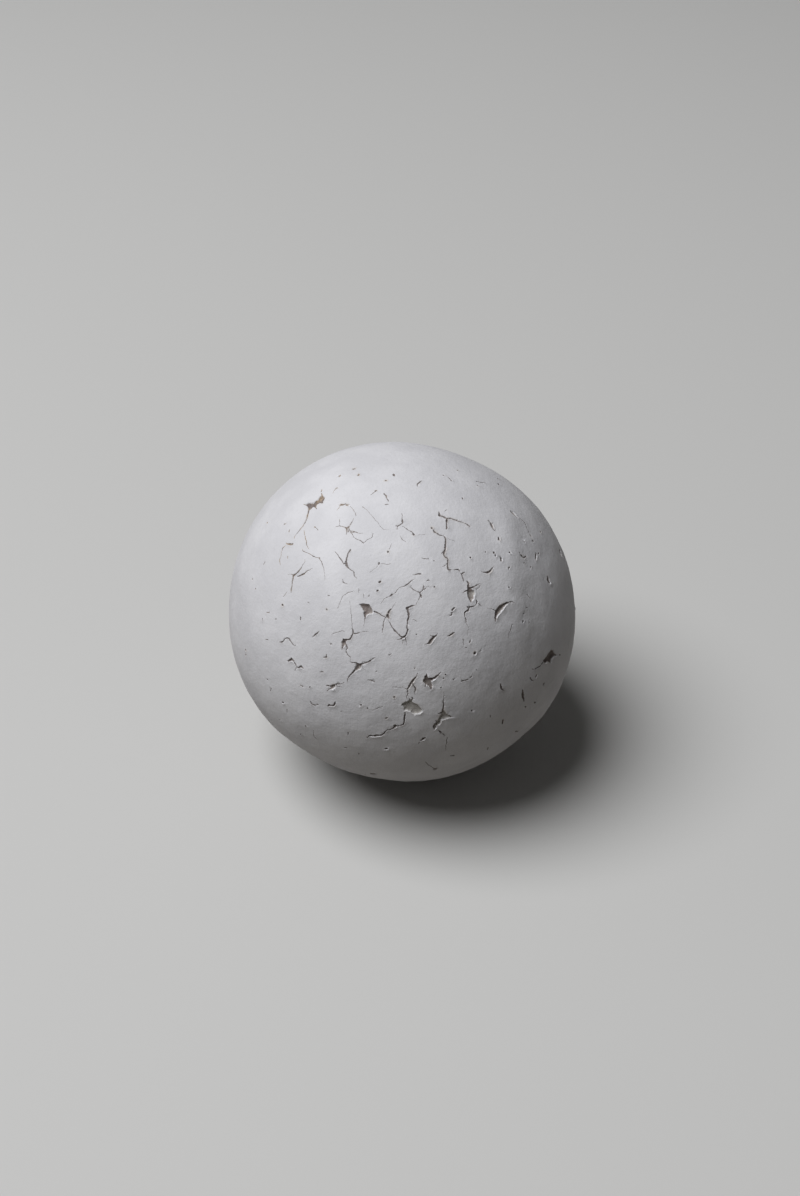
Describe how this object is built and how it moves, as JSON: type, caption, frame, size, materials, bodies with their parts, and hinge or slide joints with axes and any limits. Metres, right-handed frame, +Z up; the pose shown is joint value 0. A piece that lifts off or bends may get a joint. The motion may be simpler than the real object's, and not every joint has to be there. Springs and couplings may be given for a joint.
{
  "type": "ceramic sphere",
  "caption": "Hand-formed ceramic ball, slightly out of round, with a white slip skin cracked and torn open over a tan clay body.",
  "frame": {"origin": "middle of the ball", "axes": "+Z up, -Z through the point it rests on, -Y toward the front, +X to the right"},
  "size_m": [0.0988, 0.0994, 0.0991],
  "materials": {
    "slip_skin": "matte white slip, cracked and torn over a rough tan clay body"
  },
  "bodies": {
    "root": {"ball": "slip_skin"}
  },
  "joints": []
}
